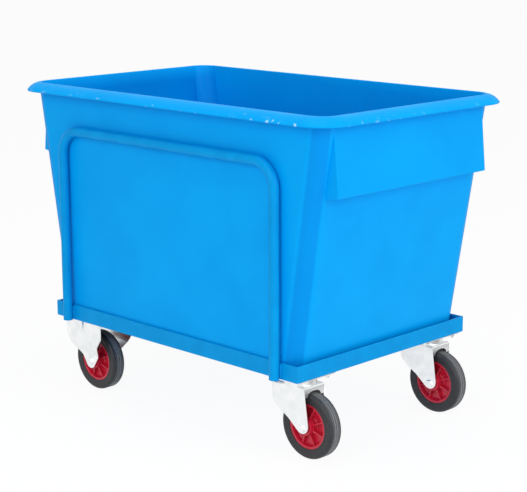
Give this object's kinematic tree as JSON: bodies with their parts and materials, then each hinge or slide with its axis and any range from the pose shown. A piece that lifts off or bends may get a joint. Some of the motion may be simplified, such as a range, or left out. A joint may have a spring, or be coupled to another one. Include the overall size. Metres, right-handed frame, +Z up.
{
  "type": "wheeled bin",
  "caption": "Tapered plastic tub with a rolled rim and end grips, in a welded angle-iron frame on two swivel and two fixed castors, with a bent tube handle on one long side.",
  "frame": {"origin": "on the floor, under the middle of the rim", "axes": "+X along the long side, +Y away from the handle side, +Z up"},
  "size_m": [1.1076, 0.6932, 0.826],
  "materials": {
    "tub_plastic": "moulded blue polyethylene, slightly glossy",
    "frame_paint": "satin blue enamel over steel",
    "zinc_plate": "bright zinc plate",
    "plain_steel": "ground steel",
    "wheel_plastic": "moulded red nylon",
    "tyre_rubber": "black rubber with fine tread grooves"
  },
  "bodies": {
    "bin": {"tub": "tub_plastic", "long_rail_handle_side": "frame_paint", "long_rail_far_side": "frame_paint", "end_rail_right": "frame_paint", "end_rail_left": "frame_paint", "handle_bow": "frame_paint", "handle_welds": "frame_paint", "tub_screws": "zinc_plate", "tub_washers": "zinc_plate", "tub_nuts": "zinc_plate", "castor_pad_front": "frame_paint", "plate_screws_front": "zinc_plate", "plate_nuts_front": "zinc_plate", "castor_plate_front": "zinc_plate", "king_pin_front": "zinc_plate", "castor_pad_right": "frame_paint", "plate_screws_right": "zinc_plate", "plate_nuts_right": "zinc_plate", "castor_plate_right": "zinc_plate", "king_pin_right": "zinc_plate", "castor_pad_left": "frame_paint", "plate_screws_left": "zinc_plate", "plate_nuts_left": "zinc_plate", "fork_left": "zinc_plate", "axle_sleeve_left": "plain_steel", "axle_bolt_left": "zinc_plate", "axle_nut_left": "zinc_plate", "castor_pad_rear": "frame_paint", "plate_screws_rear": "zinc_plate", "plate_nuts_rear": "zinc_plate", "fork_rear": "zinc_plate", "axle_sleeve_rear": "plain_steel", "axle_bolt_rear": "zinc_plate", "axle_nut_rear": "zinc_plate"},
    "swivel_front": {"fork_front": "zinc_plate", "axle_sleeve_front": "plain_steel", "axle_bolt_front": "zinc_plate", "axle_nut_front": "zinc_plate"},
    "wheel_front": {"wheel_centre_front": "wheel_plastic", "tyre_front": "tyre_rubber", "roller_bearing_front": "plain_steel"},
    "swivel_right": {"fork_right": "zinc_plate", "axle_sleeve_right": "plain_steel", "axle_bolt_right": "zinc_plate", "axle_nut_right": "zinc_plate"},
    "wheel_right": {"wheel_centre_right": "wheel_plastic", "tyre_right": "tyre_rubber", "roller_bearing_right": "plain_steel"},
    "wheel_left": {"wheel_centre_left": "wheel_plastic", "tyre_left": "tyre_rubber", "roller_bearing_left": "plain_steel"},
    "wheel_rear": {"wheel_centre_rear": "wheel_plastic", "tyre_rear": "tyre_rubber", "roller_bearing_rear": "plain_steel"}
  },
  "joints": [
    {"name": "swivel_front", "type": "hinge", "parent": "bin", "child": "swivel_front", "pos_m": [0.385, -0.24, 0.177], "axis": [0, 0, 1], "continuous": true},
    {"name": "wheel_front_spin", "type": "hinge", "parent": "swivel_front", "child": "wheel_front", "pos_m": [0.423, -0.24, 0.08], "axis": [0, 1, 0], "continuous": true},
    {"name": "swivel_right", "type": "hinge", "parent": "bin", "child": "swivel_right", "pos_m": [0.385, 0.24, 0.177], "axis": [0, 0, 1], "continuous": true},
    {"name": "wheel_right_spin", "type": "hinge", "parent": "swivel_right", "child": "wheel_right", "pos_m": [0.423, 0.24, 0.08], "axis": [0, 1, 0], "continuous": true},
    {"name": "wheel_left_spin", "type": "hinge", "parent": "bin", "child": "wheel_left", "pos_m": [-0.355, -0.24, 0.08], "axis": [0, 1, 0], "continuous": true},
    {"name": "wheel_rear_spin", "type": "hinge", "parent": "bin", "child": "wheel_rear", "pos_m": [-0.355, 0.24, 0.08], "axis": [0, 1, 0], "continuous": true}
  ]
}
